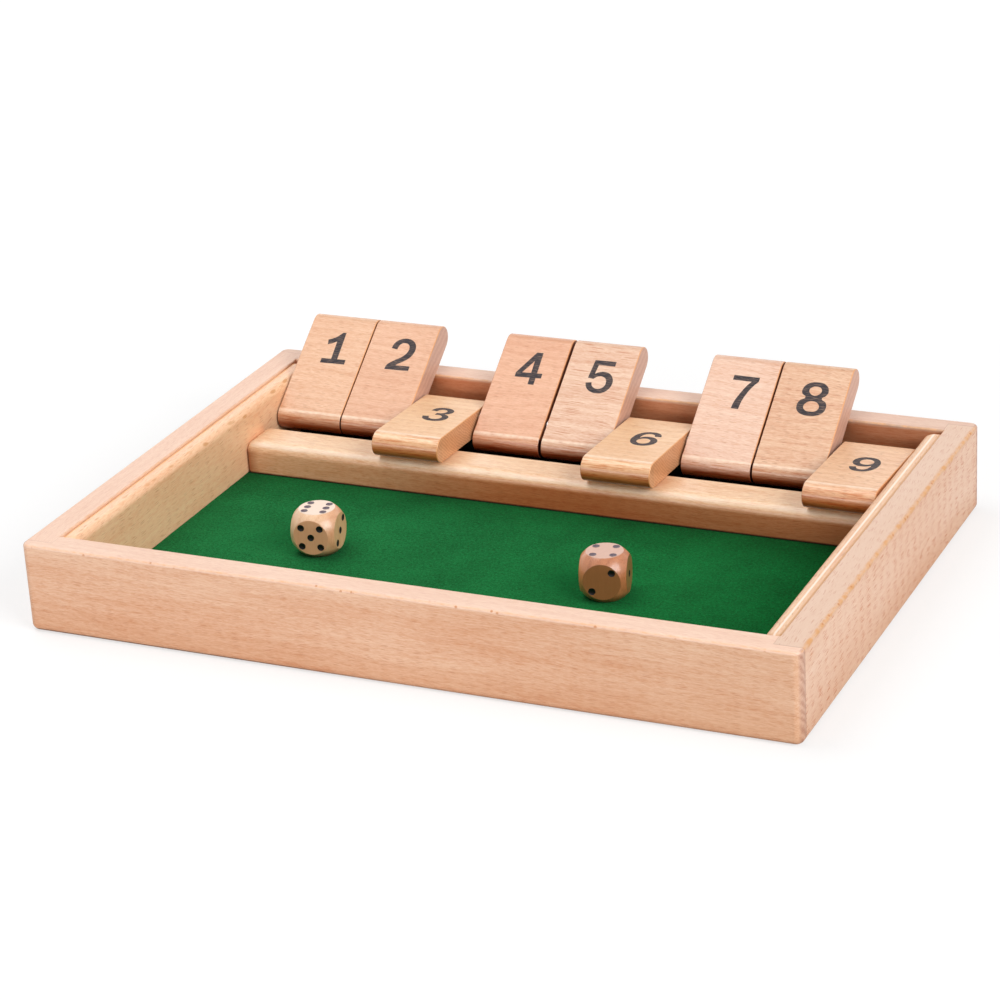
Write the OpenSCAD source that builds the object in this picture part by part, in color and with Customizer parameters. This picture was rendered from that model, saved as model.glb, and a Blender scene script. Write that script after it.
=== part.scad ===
// A shut the box game: a wooden tray with a felt field, nine numbered tiles
// that flip over on one steel rod, a bar that the flipped tiles rest on, and
// two dice. Millimetres, +Z up, the front towards -Y. The origin lies on the
// table, in the middle of the space that the game takes up at rest.

/* [Tray] */
// Depth of the tray over its front and back rails
tray_d = 192.4; // [185:0.1:260]
// Height of the rails
rail_h = 32; // [30:0.5:45]
// Thickness of the rails
rail_t = 10; // [8:0.5:16]
// Radius of the upright outer corners
corner_r = 3; // [0.5:0.1:3.5]
// Radius of the outer bottom edges
foot_r = 2.5; // [0.5:0.1:4]
// Radius of the sanded top edges of the rails
arris_r = 0.6; // [0.2:0.1:1.5]
// Depth of the rebates in the front and back rails that take the side rails
rebate_d = 6; // [5.2:0.1:7]

/* [Floor] */
// Thickness of the base board
board_t = 3; // [2:0.1:5]
// Height of the base board's underside above the table
board_z = 4.3; // [3:0.1:6]
// Depth of the groove in the rails that holds the base board
groove_d = 5; // [3:0.1:5]
// Play of the base board in its groove, above it and at its edges
groove_play = 0.1; // [0.05:0.05:0.4]
// Thickness of the felt
felt_t = 1; // [0.5:0.1:2]
// Gap between the felt and the wood round it
felt_gap = 0.3; // [0.1:0.1:1]

/* [Side strips] */
// Thickness of the strips that carry the rod
strip_t = 6; // [5:0.1:10]
// Depth of the strips' top below the rails' top
strip_drop = 0.8; // [0.3:0.1:3]
// Radius of the strips' inner top edge
strip_r = 2.5; // [0.5:0.1:4]
// Radius of the strips' outer top edge, beside the rail
strip_arris_r = 0.5; // [0.2:0.1:1]
// Radius that eases the strips' two ends
strip_end_r = 2; // [0.5:0.1:3]
// Gap between a strip's end and the rail that it faces
strip_play = 0.4; // [0.1:0.1:0.8]

/* [Rest bar] */
// Distance of the bar's back face from the rod's axis
bar_gap = 20.4; // [15:0.1:24]
// Depth of the bar, front to back
bar_d = 15; // [10:0.1:18]
// Height of the bar, which stands on the felt
bar_h = 11.9; // [9:0.1:13]
// Radius of the bar's front top edge
bar_r = 4.3; // [1:0.1:6]
// Radius of the bar's back top edge
bar_back_r = 0.5; // [0.2:0.1:2]
// Radius that eases the bar's two ends
bar_end_r = 3; // [0.5:0.1:5]

/* [Tiles] */
// Width of a tile
tile_w = 26.1; // [20:0.1:32]
// Length of a tile
tile_l = 50; // [46:0.1:56]
// Thickness of a tile, whose ends are rounded to half of it
tile_t = 9.3; // [7:0.1:10]
// Radius of the tiles' long edges
tile_edge_r = 0.4; // [0.2:0.1:1.5]
// Gap that is left between a tile and the wood that it rests on
stop_gap = 0.05; // [0.02:0.01:0.2]

/* [Rod] */
// Diameter of the rod
rod_d = 3; // [2:0.1:4]
// Distance of the rod's axis from the back rail's inner face
rod_gap = 19; // [16:0.1:22]
// Height of the rod's axis above the table
rod_z = 23.9; // [23:0.1:25]
// Distance of the rod's axis from the tiles' hinge end
rod_in = 12; // [9:0.1:14]
// Radial play of the tiles on the rod
bore_play = 0.05; // [0.02:0.01:0.1]
// Radial play of the rod in the strips
seat_play = 0.02; // [0.01:0.01:0.05]
// Outer diameter of the spacer washers
spacer_d = 7; // [5:0.1:8]
// Thickness of the spacer washers
spacer_t = 0.3; // [0.2:0.05:0.3]
// Radial play of the spacer washers on the rod
spacer_play = 0.1; // [0.05:0.05:0.3]

/* [Dice] */
// Side of a die
die_s = 16; // [12:0.5:20]
// Diameter of the ball that rounds the corners of a die
die_ball_d = 20.4; // [19:0.1:22]
// Diameter of a pip
pip_d = 2.4; // [1.5:0.1:3]
// Depth of a pip
pip_depth = 0.35; // [0.2:0.05:0.6]
// Distance of an outer pip's row from the middle of its face
pip_pitch = 3.4; // [2.5:0.1:3.5]
// Distance of the left die's middle from the tray's middle line
die_1_x = -63.5; // [-100:0.5:-20]
// Distance of the left die's middle from the bar's front face
die_1_gap = 55.2; // [15:0.1:100]
// Turn of the left die
die_1_turn = 7.3; // [-45:0.1:45]
// Distance of the right die's middle from the tray's middle line
die_2_x = 45.6; // [20:0.1:100]
// Distance of the right die's middle from the bar's front face
die_2_gap = 59.5; // [15:0.1:100]
// Turn of the right die
die_2_turn = 12.8; // [-45:0.1:45]

/* [Hidden] */
tiles = 9;
lying_tiles = [3, 6, 9];
// The gaps along the row, from the left strip to tile 1, from tile to tile, and
// from tile 9 to the right strip. The tiles can slide a little on the rod, and
// this is how they stand. A washer fills most of the narrowest gap.
row_gaps = [0.35, 0.35, 0.5, 0.95, 0.95, 1, 0.8, 0.6, 1.7, 0.9];
$fn = 96;

// How far a cutting shape runs past what it cuts.
past = 1;

// Widths across the tray: the row of tiles sets them.
function gaps_before(k) = k < 1 ? 0 : row_gaps[k - 1] + gaps_before(k - 1);
row_w = tiles * tile_w + gaps_before(tiles + 1);
inner_w = row_w + 2 * strip_t;
tray_w = inner_w + 2 * rail_t;
inner_d = tray_d - 2 * rail_t;
tongue_t = rail_t - rebate_d;

// Places behind the tray's front face: the rod stands off the back rail, and
// the bar off the rod.
rod_y = tray_d - rail_t - rod_gap;
bar_y = rod_y - bar_gap - bar_d;

// Heights.
board_top = board_z + board_t;
felt_top = board_top + felt_t;
bar_top = felt_top + bar_h;
strip_h = rail_h - strip_drop - board_top;

// A tile turns about the rod until one of its flat faces meets a rounded edge.
// An edge whose arc centre lies dy behind and dz above the rod stops the
// tile's centre line at stop_angle above the horizontal.
function stop_angle(dy, dz, r) =
    atan2(dz, dy) + asin((tile_t / 2 + r + stop_gap) / norm([dy, dz]));
up_angle = stop_angle(
    tray_d - rail_t + arris_r - rod_y, rail_h - arris_r - rod_z, arris_r);
down_angle = 180 - stop_angle(
    rod_y - bar_y - bar_d + bar_back_r, bar_top - bar_back_r - rod_z, bar_back_r);
echo(up_angle = up_angle, down_angle = down_angle, travel = down_angle - up_angle);

// The raised tiles reach out past the back rail.
nose_r = tile_t / 2;
reach = rod_y + (tile_l - rod_in - nose_r) * cos(up_angle) + nose_r;
front_y = -max(tray_d, reach) / 2;
echo(front_y = front_y, tray_w = tray_w, reach = reach);

// Tile k stands to the right of gap k, and washer k in the middle of it.
function tile_x(k) = -row_w / 2 + gaps_before(k) + (k - 1 / 2) * tile_w;
function spacer_x(k) = tile_x(k) - (tile_w + row_gaps[k - 1]) / 2;
function lies(k) = len(search(k, lying_tiles)) > 0;

// Which pips a face of a die has, counted in rows from its middle.
function pips(n) = concat(
    n % 2 == 1 ? [[0, 0]] : [],
    n > 1 ? [[1, 1], [-1, -1]] : [],
    n > 3 ? [[1, -1], [-1, 1]] : [],
    n > 5 ? [[1, 0], [-1, 0]] : []);
pip_ball_r = (pow(pip_d / 2, 2) + pow(pip_depth, 2)) / (2 * pip_depth);

// What a rounded edge of radius r takes off a corner at the origin.
module corner_waste(r) {
    difference() {
        translate([-past, -past]) square(r + past);
        translate([r, r]) circle(r);
    }
}

// A rectangle whose corners have their own radii, listed from the lower left
// counterclockwise. A radius of 0 leaves a sharp corner.
module eased_rect(w, h, radii) {
    difference() {
        square([w, h]);
        if (radii[0] > 0) corner_waste(radii[0]);
        if (radii[1] > 0) translate([w, 0]) mirror([1, 0]) corner_waste(radii[1]);
        if (radii[2] > 0) translate([w, h]) rotate(180) corner_waste(radii[2]);
        if (radii[3] > 0) translate([0, h]) mirror([0, 1]) corner_waste(radii[3]);
    }
}

// A block with one corner on the origin. Its side view (depth and height), its
// plan (width and depth) and its front view (width and height) each have their
// own corner radii, listed as in eased_rect.
module eased_block(size, side, plan, front) {
    intersection() {
        rotate([90, 0, 90])
            linear_extrude(size.x) eased_rect(size.y, size.z, side);
        linear_extrude(size.z) eased_rect(size.x, size.y, plan);
        translate([0, size.y, 0]) rotate([90, 0, 0])
            linear_extrude(size.y) eased_rect(size.x, size.z, front);
    }
}

// The groove for the base board in a rail along X whose outer face is on Y = 0.
module board_groove(length) {
    translate([-past, rail_t - groove_d, board_z])
        cube([length + 2 * past, groove_d + past, board_t + groove_play]);
}

// The front rail with its outer left end on the origin. Its ends are rebated,
// so that a tongue covers the end of each side rail.
module cross_rail() {
    difference() {
        eased_block(
            [tray_w, rail_t, rail_h],
            [foot_r, 0, arris_r, arris_r],
            [corner_r, corner_r, 0, 0],
            [foot_r, foot_r, arris_r, arris_r]);
        board_groove(tray_w);
        for (x = [-past, tray_w - rail_t])
            translate([x, tongue_t, -past])
                cube([rail_t + past, rebate_d + past, rail_h + 2 * past]);
    }
}

// A side rail laid along X, between the tongues of the front and back rails.
module side_rail() {
    length = tray_d - 2 * tongue_t;
    difference() {
        eased_block(
            [length, rail_t, rail_h],
            [foot_r, 0, arris_r, arris_r], [0, 0, 0, 0], [0, 0, 0, 0]);
        board_groove(length);
    }
}

module front_rail() {
    color("#e3bd93")
        translate([-tray_w / 2, front_y, 0]) cross_rail();
}

module back_rail() {
    color("#e3bd93")
        translate([tray_w / 2, front_y + tray_d, 0]) rotate(180) cross_rail();
}

module left_rail() {
    color("#e1ba8e")
        translate([-tray_w / 2, front_y + tray_d - tongue_t, 0]) rotate(-90) side_rail();
}

module right_rail() {
    color("#e1ba8e")
        translate([tray_w / 2, front_y + tongue_t, 0]) rotate(90) side_rail();
}

module base_board() {
    edge = groove_d - groove_play;
    color("#caa577")
        translate([-inner_w / 2 - edge, front_y + rail_t - edge, board_z])
            cube([inner_w + 2 * edge, inner_d + 2 * edge, board_t]);
}

// The felt covers the whole floor between the strips, and the bar stands on it.
module felt() {
    color("#0d5a2b")
        translate([-row_w / 2 + felt_gap, front_y + rail_t + felt_gap, board_top])
            cube([row_w - 2 * felt_gap, inner_d - 2 * felt_gap, felt_t]);
}

// The left strip against its rail, with the hole that the rod's end sits in.
module side_strip() {
    difference() {
        translate([-inner_w / 2, front_y + rail_t + strip_play, board_top])
            eased_block(
                [strip_t, inner_d - 2 * strip_play, strip_h],
                [0, 0, strip_end_r, strip_end_r],
                [0, strip_end_r, strip_end_r, 0],
                [0, 0, strip_r, strip_arris_r]);
        translate([-inner_w / 2 - past, front_y + rod_y, rod_z])
            rotate([0, 90, 0])
                cylinder(h = strip_t + 2 * past, r = rod_d / 2 + seat_play);
    }
}

module left_strip() {
    color("#edd2aa") side_strip();
}

module right_strip() {
    color("#edd2aa") mirror([1, 0, 0]) side_strip();
}

module rest_bar() {
    color("#e8c598")
        translate([-row_w / 2, front_y + bar_y, felt_top])
            eased_block(
                [row_w, bar_d, bar_h],
                [0, 0, bar_back_r, bar_r],
                [bar_end_r, bar_end_r, 0, 0],
                [0, 0, bar_end_r, bar_end_r]);
}

module tile_rod() {
    color("#c9cacc")
        translate([-inner_w / 2, front_y + rod_y, rod_z])
            rotate([0, 90, 0]) cylinder(h = inner_w, d = rod_d);
}

// Half of the tile's cross-section, from its middle plane outwards.
module tile_half_section() {
    translate([0, -tile_w / 2])
        eased_rect(nose_r, tile_w, [0, tile_edge_r, tile_edge_r, 0]);
}

// The round nose at one end of a tile, reaching to -Y.
module tile_nose() {
    rotate([0, 90, 0]) rotate([0, 0, 180])
        rotate_extrude(angle = 180) tile_half_section();
}

// A tile about its rod, lying along +Y.
module tile_wood() {
    run = tile_l - 2 * nose_r;
    difference() {
        translate([0, nose_r - rod_in, 0]) union() {
            translate([-tile_w / 2, run, -nose_r])
                rotate([90, 0, 0])
                    linear_extrude(run)
                        eased_rect(tile_w, tile_t, [for (i = [1:4]) tile_edge_r]);
            tile_nose();
            translate([0, run, 0]) rotate(180) tile_nose();
        }
        rotate([0, 90, 0])
            cylinder(h = tile_w + 2 * past, r = rod_d / 2 + bore_play, center = true);
    }
}

module tile(k) {
    color("#dfb98c")
        translate([tile_x(k), front_y + rod_y, rod_z])
            rotate([lies(k) ? down_angle : up_angle, 0, 0]) tile_wood();
}

module spacer(k) {
    color("#d3d4d6")
        translate([spacer_x(k), front_y + rod_y, rod_z])
            rotate([0, 90, 0]) difference() {
                cylinder(h = spacer_t, d = spacer_d, center = true);
                cylinder(h = spacer_t + past, r = rod_d / 2 + spacer_play, center = true);
            }
}

// The hollows of one face's pips, in the top face of a die centred on 0.
module pip_hollows(n) {
    for (at = pips(n))
        translate([at.x * pip_pitch, at.y * pip_pitch, die_s / 2 - pip_depth + pip_ball_r])
            sphere(pip_ball_r);
}

// A die standing on Z = 0, by what its top, front and right faces show.
module die(top, front, right) {
    translate([0, 0, die_s / 2]) difference() {
        intersection() {
            cube(die_s, center = true);
            sphere(d = die_ball_d);
        }
        pip_hollows(top);
        rotate([180, 0, 0]) pip_hollows(7 - top);
        rotate([90, 0, 0]) pip_hollows(front);
        rotate([-90, 0, 0]) pip_hollows(7 - front);
        rotate([90, 0, 90]) pip_hollows(right);
        rotate([90, 0, -90]) pip_hollows(7 - right);
    }
}

module die_1() {
    color("#e2c59c")
        translate([die_1_x, front_y + bar_y - die_1_gap, felt_top])
            rotate(die_1_turn) die(6, 5, 3);
}

module die_2() {
    color("#c08a5c")
        translate([die_2_x, front_y + bar_y - die_2_gap, felt_top])
            rotate(die_2_turn) die(4, 2, 1);
}

front_rail();
back_rail();
left_rail();
right_rail();
base_board();
felt();
left_strip();
right_strip();
rest_bar();
tile_rod();
for (k = [1:tiles])
    tile(k);
for (k = [1:tiles + 1])
    spacer(k);
die_1();
die_2();
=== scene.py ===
import math
from types import SimpleNamespace

import bpy
from mathutils import Matrix, Vector


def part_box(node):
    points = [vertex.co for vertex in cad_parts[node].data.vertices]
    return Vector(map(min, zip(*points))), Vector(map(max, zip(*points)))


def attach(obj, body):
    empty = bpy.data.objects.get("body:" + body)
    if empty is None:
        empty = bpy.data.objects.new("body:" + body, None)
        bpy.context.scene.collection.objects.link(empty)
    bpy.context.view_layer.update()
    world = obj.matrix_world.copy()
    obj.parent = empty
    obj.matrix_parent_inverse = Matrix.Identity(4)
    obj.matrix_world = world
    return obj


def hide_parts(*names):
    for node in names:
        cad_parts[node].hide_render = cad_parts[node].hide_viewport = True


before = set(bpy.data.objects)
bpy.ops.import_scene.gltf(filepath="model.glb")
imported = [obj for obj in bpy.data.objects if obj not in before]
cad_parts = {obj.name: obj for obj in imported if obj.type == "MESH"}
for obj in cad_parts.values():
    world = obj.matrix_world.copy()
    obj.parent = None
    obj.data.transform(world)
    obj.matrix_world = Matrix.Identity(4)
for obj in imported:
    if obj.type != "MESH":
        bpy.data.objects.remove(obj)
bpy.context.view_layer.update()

MM = 0.001


def middle_of(node):
    low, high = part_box(node)
    return (low + high) / 2


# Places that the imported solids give.
tray_low, tray_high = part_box("front_rail")[0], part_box("back_rail")[1]
bar_low, bar_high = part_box("rest_bar")
felt_low, felt_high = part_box("felt")
rod = middle_of("tile_rod")

# The tiles lean back on the rail or lie on the bar, turned about the rod by
# these angles in degrees.
LEAN_ANGLE = 35.568
LIE_ANGLE = 177.244
LYING = (3, 6, 9)
TILE_T = 9.3 * MM


def turned(degrees, axis):
    return Matrix.Rotation(math.radians(degrees), 4, axis)


def radians(turn):
    return tuple(math.radians(angle) for angle in turn)


# Helpers for objects.

def placed(name, data):
    """A new object in the scene."""
    made = bpy.data.objects.new(name, data)
    bpy.context.scene.collection.objects.link(made)
    return made


def lone(made):
    """Selects only that object, and makes it the active one."""
    bpy.ops.object.select_all(action="DESELECT")
    made.select_set(True)
    bpy.context.view_layer.objects.active = made


def finish_with(target, material):
    """Makes that the only material of a piece."""
    target.data.materials.clear()
    target.data.materials.append(material)


# Helpers for shader nodes. Most find the tree of nodes from the sockets that
# they are given.

def paint(tone):
    """A colour written as on a paint card, as the shader wants it."""
    parts = [int(tone[i:i + 2], 16) / 255 for i in (1, 3, 5)]
    return [c / 12.92 if c <= 0.04045 else ((c + 0.055) / 1.055) ** 2.4 for c in parts] + [1.0]


def is_socket(value):
    return isinstance(value, bpy.types.NodeSocket)


def tree_of(*values):
    """The tree of the first of these values that is a socket."""
    return next(value.id_data for value in values if is_socket(value))


def feed(socket, value):
    """Joins a socket to another one, or sets its value."""
    if is_socket(value):
        socket.id_data.links.new(value, socket)
    else:
        socket.default_value = value


def add(tree, kind, sockets=None, **settings):
    """A node of that kind, with its settings and the values of its sockets."""
    made = tree.nodes.new(kind)
    for name, value in settings.items():
        setattr(made, name, value)
    for name, value in (sockets or {}).items():
        feed(made.inputs[name], value)
    return made


def calc(operation, a, b=0.0, clamp=False):
    made = add(tree_of(a, b), "ShaderNodeMath", {0: a, 1: b}, operation=operation, use_clamp=clamp)
    return made.outputs[0]


def plus(*values):
    total = values[0]
    for value in values[1:]:
        total = calc("ADD", total, value)
    return total


def minus(a, b):
    return calc("SUBTRACT", a, b)


def times(*values):
    """The product of values, or the overlap of masks."""
    product = values[0]
    for value in values[1:]:
        product = calc("MULTIPLY", product, value)
    return product


def larger(a, b):
    return calc("MAXIMUM", a, b)


def smaller(a, b):
    return calc("MINIMUM", a, b)


def away_from(value, middle=0.0):
    """How far a value is from a middle, on either side."""
    return calc("ABSOLUTE", minus(value, middle))


def remap(value, low, high, to_low=0.0, to_high=1.0, smooth=False):
    """A ramp between two values. Past them it stays level."""
    made = add(tree_of(value), "ShaderNodeMapRange", {
        "Value": value, "From Min": low, "From Max": high, "To Min": to_low, "To Max": to_high})
    made.interpolation_type = "SMOOTHSTEP" if smooth else "LINEAR"
    return made.outputs[0]


def near(value, middle, full, fade):
    """A mask that is whole within full of a middle, and gone at fade."""
    return remap(away_from(value, middle), fade, full)


def blend(share, a, b, way="MIX"):
    made = add(tree_of(share, a, b), "ShaderNodeMix", data_type="RGBA", blend_type=way)
    share_socket, a_socket, b_socket = made.inputs[0], made.inputs[6], made.inputs[7]
    feed(share_socket, share)
    feed(a_socket, a)
    feed(b_socket, b)
    return made.outputs[2]


def stretch(vector, scale=(1, 1, 1), shift=(0, 0, 0), turn=(0, 0, 0)):
    """Coordinates scaled, turned by angles in degrees, and shifted."""
    return add(tree_of(vector), "ShaderNodeMapping", {
        "Vector": vector, "Location": shift, "Rotation": radians(turn),
        "Scale": scale}).outputs[0]


def noise(vector, scale=1.0, detail=2.0, rough=0.5, bend=0.0):
    return add(tree_of(vector), "ShaderNodeTexNoise", {
        "Vector": vector, "Scale": scale, "Detail": detail, "Roughness": rough,
        "Distortion": bend}).outputs["Fac"]


def split(vector):
    return tuple(add(tree_of(vector), "ShaderNodeSeparateXYZ", {0: vector}).outputs)


def join(tree, **parts):
    return add(tree, "ShaderNodeCombineXYZ", parts).outputs[0]


def group(name, inputs, outputs):
    """An empty shader group with those sockets, and its two end nodes."""
    tree = bpy.data.node_groups.new(name, "ShaderNodeTree")
    kinds = {"v": "NodeSocketVector", "c": "NodeSocketColor", "f": "NodeSocketFloat"}
    for label, kind, start in inputs:
        made = tree.interface.new_socket(name=label, in_out="INPUT", socket_type=kinds[kind])
        if start is not None:
            made.default_value = start
    for label, kind in outputs:
        tree.interface.new_socket(name=label, in_out="OUTPUT", socket_type=kinds[kind])
    return tree, add(tree, "NodeGroupInput").outputs, add(tree, "NodeGroupOutput").inputs


def use(tree, made_group, **values):
    """Places a group in a material. Names with spaces are written with _."""
    made = add(tree, "ShaderNodeGroup")
    made.node_tree = made_group
    for name, value in values.items():
        feed(made.inputs[name.replace("_", " ")], value)
    return made.outputs


# Beech, in millimetres with its grain along X.

def make_beech():
    tree, given, out = group("beech", [
        ("Place", "v", None), ("Pale", "c", paint("#e8bd9a")), ("Deep", "c", paint("#cf9a72")),
        ("Fleck", "c", paint("#a86f4c")), ("Streak", "f", 0.5), ("Fibre", "f", 0.3),
        ("Ring", "f", 0.2), ("Flecks", "f", 0.6), ("Fleck Length", "f", 8.0),
        ("Fleck Width", "f", 0.8)],
        [("Color", "c"), ("Roughness", "f"), ("Height", "f")])
    # The grain drifts slowly to the sides. Its darkness has five layers: broad
    # bands, short dashes, clouds, fine fibres and growth rings.
    drift = noise(stretch(given["Place"], (0.011, 0.03, 0.03), (2, 6, 3)))
    place = add(tree, "ShaderNodeVectorMath", {
        0: given["Place"], 1: join(tree, Y=times(drift, 9.0), Z=times(drift, 6.0))},
        operation="ADD").outputs[0]
    bands = noise(stretch(place, (0.012, 0.36, 0.36)), detail=4.0, rough=0.6, bend=0.3)
    dashes = noise(stretch(place, (0.26, 2.4, 2.4), (3, 7, 1)), detail=3.0, rough=0.62, bend=0.6)
    fibres = noise(stretch(place, (0.55, 4.0, 4.0), (9, 2, 4)), detail=3.0, rough=0.65)
    cloud = noise(stretch(place, (0.016, 0.07, 0.07), (1, 5, 8)))

    x, y, z = split(place)
    depth = plus(times(y, 0.62), times(z, 0.78))
    ring = remap(calc("SINE", times(depth, 2.6)), -1.0, 1.0)
    ring = calc("POWER", ring, 3.0)

    share = plus(
        times(minus(bands, 0.5), given["Streak"], 1.6),
        times(remap(dashes, 0.42, 0.72, -0.35, 0.75), given["Streak"]),
        times(minus(cloud, 0.5), 0.9),
        times(minus(fibres, 0.5), given["Fibre"], 2.2),
        times(ring, given["Ring"]))
    tone = blend(calc("ADD", share, 0.42, clamp=True), given["Pale"], given["Deep"])

    # The flecks are long spots, some in each patch of their own size.
    cells = add(tree, "ShaderNodeTexVoronoi", {
        "Vector": join(tree, X=calc("DIVIDE", x, given["Fleck Length"]),
                       Y=calc("DIVIDE", depth, given["Fleck Width"])),
        "Scale": 1.0, "Randomness": 0.9}, voronoi_dimensions="2D")
    luck, luck_in_size, _ = split(cells.outputs["Color"])
    reach = remap(luck_in_size, 0.0, 1.0, 0.14, 0.34)
    spot = remap(calc("DIVIDE", cells.outputs["Distance"], reach), 1.0, 0.5, smooth=True)
    fleck = smaller(times(spot, remap(luck, 0.25, 0.8), given["Flecks"]), 1.0)

    feed(out["Color"], blend(fleck, tone, given["Fleck"]))
    feed(out["Roughness"], plus(times(minus(fibres, 0.5), 0.16), 0.42))
    feed(out["Height"], plus(times(fibres, 0.6), times(dashes, 0.4)))
    return tree


# End grain, in millimetres, on faces square to X: slanting growth lines, pores.
# A growth line is one wave of about a full turn to each pitch.

LINE_TURN = 6.28


def make_end_grain():
    tree, given, out = group("end_grain", [
        ("Place", "v", None), ("Pale", "c", paint("#deb49a")), ("Deep", "c", paint("#bd866c")),
        ("Slant", "f", 0.9), ("Pitch", "f", 1.4), ("Contrast", "f", 0.6)], [("Color", "c")])
    _, y, z = split(given["Place"])
    level, steep = calc("COSINE", given["Slant"]), calc("SINE", given["Slant"])
    wave = noise(stretch(given["Place"], (0.05, 0.09, 0.09)))
    across = plus(times(y, level), times(z, steep), times(wave, 5.0))
    along = minus(times(z, level), times(y, steep))
    line = calc("SINE", times(calc("DIVIDE", across, given["Pitch"]), LINE_TURN))
    rays = noise(join(tree, X=times(along, 3.2), Y=times(across, 0.5)), rough=0.6)
    pores = noise(given["Place"], 3.6, rough=0.6)
    share = plus(
        times(minus(remap(line, -1.0, 1.0), 0.5), 0.5), times(minus(rays, 0.5), 1.6),
        minus(pores, 0.5))
    share = calc("ADD", times(share, given["Contrast"]), 0.4, clamp=True)
    feed(out["Color"], blend(share, given["Pale"], given["Deep"]))
    return tree


BEECH = make_beech()
END_GRAIN = make_end_grain()


class Finish:
    """A material in the making: its shader, its piece's own coordinates in
    millimetres about a centre in metres and a turn in degrees, and its tone so
    far."""

    def __init__(self, name, centre=(0, 0, 0), turn=(0, 0, 0)):
        self.material = bpy.data.materials.new(name)
        self.material.use_nodes = True
        self.tree = self.material.node_tree
        self.tree.nodes.clear()
        self.shader = add(self.tree, "ShaderNodeBsdfPrincipled")
        add(self.tree, "ShaderNodeOutputMaterial", {"Surface": self.shader.outputs[0]})
        where = add(self.tree, "ShaderNodeTexCoord").outputs["Object"]
        self.own = add(self.tree, "ShaderNodeMapping", {
            "Vector": where, "Location": centre, "Rotation": radians(turn),
            "Scale": (MM, MM, MM)}, vector_type="TEXTURE").outputs[0]

    def set(self, **sockets):
        """Joins or sets sockets of the shader. Names with spaces are written with _."""
        for name, value in sockets.items():
            feed(self.shader.inputs[name.replace("_", " ")], value)

    def bump(self, height, distance, strength):
        made = add(self.tree, "ShaderNodeBump", {
            "Height": height, "Distance": distance, "Strength": strength})
        self.set(Normal=made.outputs[0])

    def cover(self, share, colour):
        """Lays a colour, written or from a socket, over the tone where share says so."""
        self.tone = blend(share, self.tone, colour if is_socket(colour) else paint(colour))

    def tint(self, share, colour):
        """Multiplies the tone by a colour, where share says so."""
        self.tone = blend(share, self.tone, paint(colour), "MULTIPLY")

    def dress(self, *nodes):
        """Joins the tone to the shader, and puts the material on those nodes."""
        self.set(Base_Color=self.tone)
        for node in nodes:
            finish_with(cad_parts[node], self.material)
        return self.material


class Wood(Finish):
    """Lacquered beech in three tones: pale, deep and its flecks'. The grain runs
    along the piece's own X, turned, shifted and then leant."""

    def __init__(self, name, tones, shift, turn=(0, 0, 0), lean=(0, 0, 0), about=(), **amounts):
        super().__init__(name, *about)
        pale, deep, fleck = map(paint, tones)
        grain = stretch(stretch(self.own, shift=shift, turn=turn), turn=lean)
        beech = use(self.tree, BEECH, Place=grain, Pale=pale, Deep=deep, Fleck=fleck, **amounts)
        self.set(Roughness=beech["Roughness"])
        self.bump(beech["Height"], 0.018 * MM, 0.6)
        self.tone = beech["Color"]


# The four rails. Places on them are told in millimetres from the tray's outer
# faces and top. The sanded edges are a warmer yellow than the faces.

TRAY_W = (tray_high.x - tray_low.x) / MM
TRAY_D = (tray_high.y - tray_low.y) / MM
TRAY_MID_Y = (tray_low.y + tray_high.y) / 2 / MM
RAIL_H = tray_high.z / MM
RAIL_T = (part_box("front_rail")[1].y - tray_low.y) / MM
TONGUE_T = (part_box("left_rail")[0].y - tray_low.y) / MM
# How far a joint's line is whole to each side, and how far it fades.
SEAM_FULL = 0.08
SEAM_FADE = 0.22
# The turn of grain that runs along the tray's Y.
ALONG_Y = (0, 0, -90)


def rail_spot(own):
    """Where a point of a rail lies, and the masks that the rails share."""
    x, y, z = split(own)
    from_side = minus(TRAY_W / 2, away_from(x))
    from_end = minus(TRAY_D / 2, away_from(y, TRAY_MID_Y))
    outer = smaller(from_side, from_end)
    inner = minus(RAIL_T, outer)
    sunk = minus(RAIL_H, z)
    return SimpleNamespace(
        own=own, x=x, z=z, from_side=from_side, from_end=from_end, outer=outer, inner=inner,
        sunk=sunk, top=remap(sunk, 1.3, 0.7), inner_face=remap(inner, 0.6, 0.2))


def end_rail_joints(wood, at):
    """The end grain of the front and back rails, and the lines of their rebates."""
    grain = use(wood.tree, END_GRAIN, Place=wood.own, Pale=paint("#e8bfa8"),
                Deep=paint("#b98068"), Slant=0.75, Pitch=2.4, Contrast=0.9)
    wood.cover(remap(at.from_side, 1.3, 0.5), grain["Color"])
    seam = times(near(at.from_end, TONGUE_T, SEAM_FULL, SEAM_FADE),
                 remap(at.from_side, RAIL_T + 0.1, RAIL_T))
    cheek = times(near(at.from_side, RAIL_T, SEAM_FULL, SEAM_FADE),
                  remap(at.from_end, TONGUE_T - 0.1, TONGUE_T + 0.1))
    wood.tint(times(larger(seam, cheek), 0.4), "#b07c58")


def side_rail_joints(wood, at, share):
    """The ends of the side rails are a little darker where they meet the rebates."""
    wood.tint(times(remap(minus(at.from_end, TONGUE_T), 0.3, 0.1), share), "#a87450")


def wander(own):
    """Soft patches, for what wear and light do unevenly."""
    return remap(noise(own, 0.35, 3.0, 0.6), 0.35, 0.65)


def sanded_edges(wood, at):
    patches = remap(wander(at.own), 0.2, 1.0, 0.1, 0.7)
    edge = times(remap(at.sunk, 0.75, 0.4), larger(
        remap(at.outer, 0.7, 0.4), remap(at.inner, 0.7, 0.4)))
    wood.cover(times(edge, patches), "#ecb482")


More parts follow.
